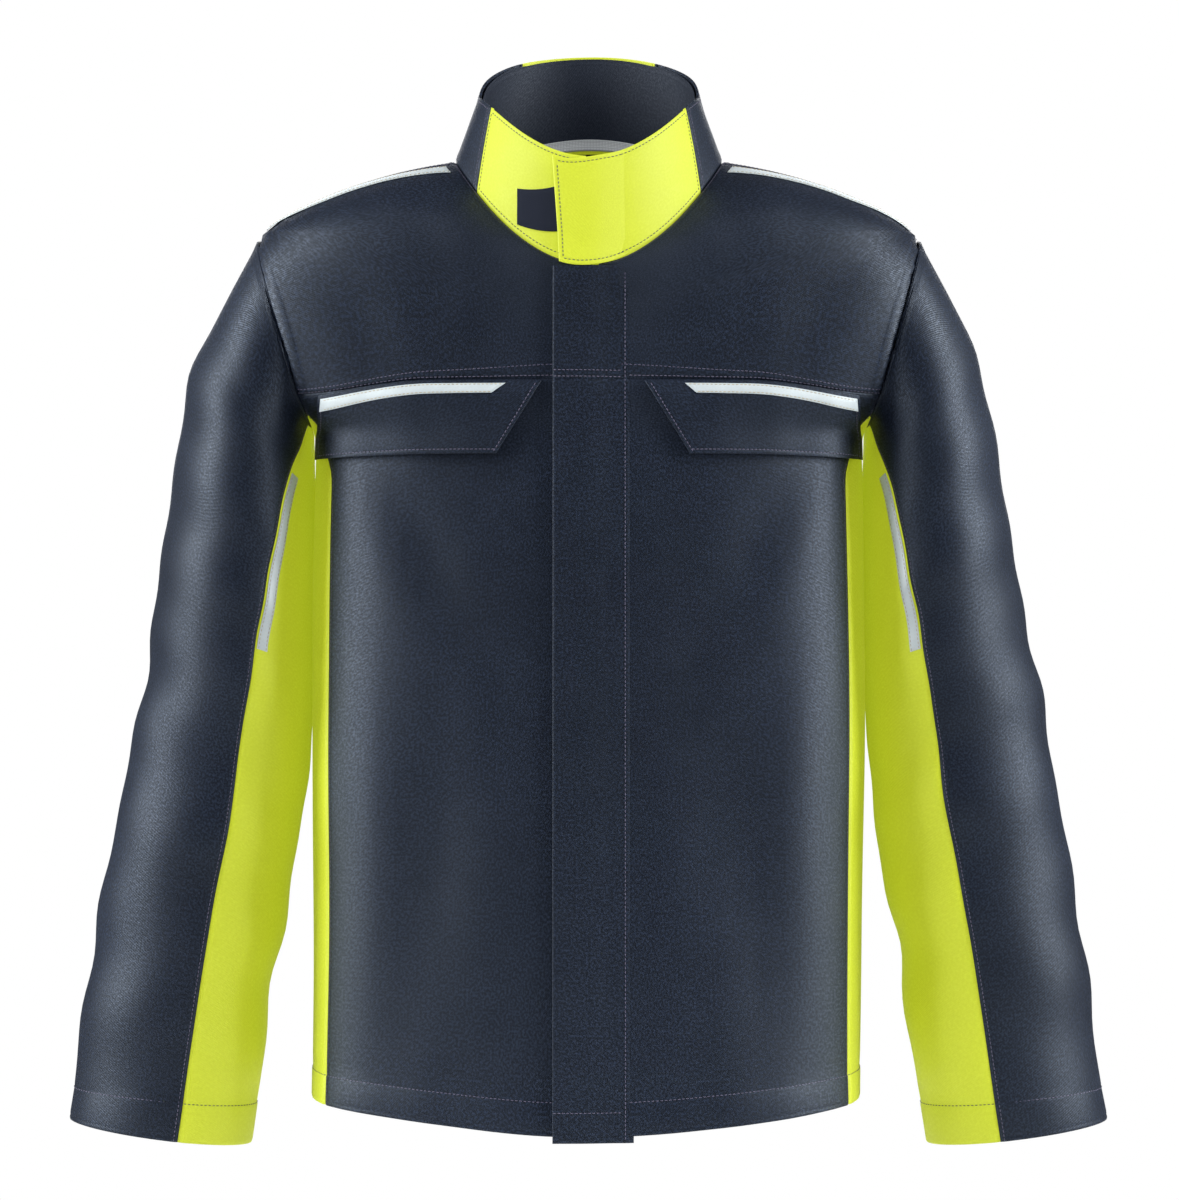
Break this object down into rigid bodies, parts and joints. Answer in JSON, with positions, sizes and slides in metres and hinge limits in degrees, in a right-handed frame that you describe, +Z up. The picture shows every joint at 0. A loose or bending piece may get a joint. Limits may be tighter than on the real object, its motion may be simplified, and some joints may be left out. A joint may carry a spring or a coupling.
{
  "type": "protective work coat",
  "caption": "Hip-length protective coat with stand-up collar, zip under a storm flap, chest pocket flaps, contrast side and sleeve panels and reflective tape.",
  "frame": {"origin": "centre of the neckline, where the wearer's neck holds the coat", "axes": "+Z up along the wearer, -Y the way the wearer faces, +X the wearer's left"},
  "size_m": [0.77, 0.2464, 0.8221],
  "materials": {
    "navy_twill": "fine navy twill with a soft sheen",
    "yellow_twill": "fluorescent yellow twill",
    "reflective_tape": "silver-grey retroreflective tape",
    "navy_lining": "smooth dark lining",
    "touch_fastener": "matt hook-and-loop tape",
    "grey_webbing": "light grey woven tape",
    "blank_label": "plain woven label",
    "zip_cloth": "woven zip tape",
    "zip_metal": "satin metal"
  },
  "bodies": {
    "coat_shell": {"back_panel": "navy_twill", "back_yoke": "navy_twill", "front_yoke_right": "navy_twill", "front_yoke_left": "navy_twill", "front_panel_right": "navy_twill", "front_panel_left": "navy_twill", "side_panel_right": "yellow_twill", "side_panel_left": "yellow_twill", "front_facing_right": "navy_lining", "front_facing_left": "navy_lining", "zip_tape_right": "zip_cloth", "zip_tape_left": "zip_cloth", "zip_teeth_right": "zip_metal", "zip_teeth_left": "zip_metal", "zip_bottom_box": "zip_metal", "storm_flap_loop_strip": "touch_fastener", "pocket_loop_patch_right": "touch_fastener", "pocket_loop_patch_left": "touch_fastener", "pocket_bag_right": "navy_lining", "pocket_bag_left": "navy_lining", "collar_front_panel_right": "yellow_twill", "collar_front_panel_left": "yellow_twill", "collar_side_panel_right": "navy_twill", "collar_side_panel_left": "navy_twill", "collar_back_panel": "yellow_twill", "collar_lining": "navy_twill", "neck_tape": "grey_webbing", "collar_loop_patch": "touch_fastener", "hanging_loop": "grey_webbing", "care_label": "blank_label", "shoulder_reflective_right": "reflective_tape", "shoulder_reflective_left": "reflective_tape"},
    "storm_flap": {"storm_flap": "navy_twill", "storm_flap_hook_strip": "touch_fastener"},
    "collar_tab": {"collar_tab": "yellow_twill", "collar_hook_patch": "touch_fastener"},
    "pocket_flap_right": {"pocket_flap_right": "navy_twill", "chest_reflective_right": "reflective_tape", "pocket_hook_patch_right": "touch_fastener"},
    "pocket_flap_left": {"pocket_flap_left": "navy_twill", "chest_reflective_left": "reflective_tape", "pocket_hook_patch_left": "touch_fastener"},
    "zip_slider": {"zip_slider": "zip_metal"},
    "zip_pull": {"zip_pull": "zip_metal"},
    "sleeve_right": {"sleeve_outer_right": "navy_twill", "sleeve_inner_right": "yellow_twill", "sleeve_reflective_right": "reflective_tape"},
    "sleeve_left": {"sleeve_outer_left": "navy_twill", "sleeve_inner_left": "yellow_twill", "sleeve_reflective_left": "reflective_tape"}
  },
  "joints": [
    {"name": "storm_flap_fold", "type": "hinge", "parent": "coat_shell", "child": "storm_flap", "pos_m": [0.026, -0.1014, -0.058], "axis": [0, 0.05, 0.9987], "range_deg": [0, 100]},
    {"name": "collar_tab_fold", "type": "hinge", "parent": "coat_shell", "child": "collar_tab", "pos_m": [0.0264, -0.0878, -0.0079], "axis": [0.0026, 0.2286, 0.9735], "range_deg": [0, 100]},
    {"name": "pocket_flap_lift_right", "type": "hinge", "parent": "coat_shell", "child": "pocket_flap_right", "pos_m": [-0.1334, -0.0991, -0.1419], "axis": [-0.9861, 0.166, 0], "range_deg": [0, 120]},
    {"name": "pocket_flap_lift_left", "type": "hinge", "parent": "coat_shell", "child": "pocket_flap_left", "pos_m": [0.1334, -0.0991, -0.1419], "axis": [-0.9861, -0.166, 0], "range_deg": [0, 120]},
    {"name": "zip_slide", "type": "slide", "parent": "coat_shell", "child": "zip_slider", "axis": [0, -0.0479, -0.9989], "range_m": [0, 0.588]},
    {"name": "zip_pull_swing", "type": "hinge", "parent": "zip_slider", "child": "zip_pull", "pos_m": [0, -0.10102, -0.06998], "axis": [-1, 0, 0], "range_deg": [0, 75]},
    {"name": "sleeve_swing_right", "type": "hinge", "parent": "coat_shell", "child": "sleeve_right", "pos_m": [-0.2479, 0, -0.031], "axis": [0, 1, 0], "range_deg": [0, 60]},
    {"name": "sleeve_swing_left", "type": "hinge", "parent": "coat_shell", "child": "sleeve_left", "pos_m": [0.2479, 0, -0.031], "axis": [0, -1, 0], "range_deg": [0, 60]}
  ],
  "couplings": [
    {"joint": "zip_pull_swing", "follows": "storm_flap_fold", "ratio": 0.75}
  ]
}
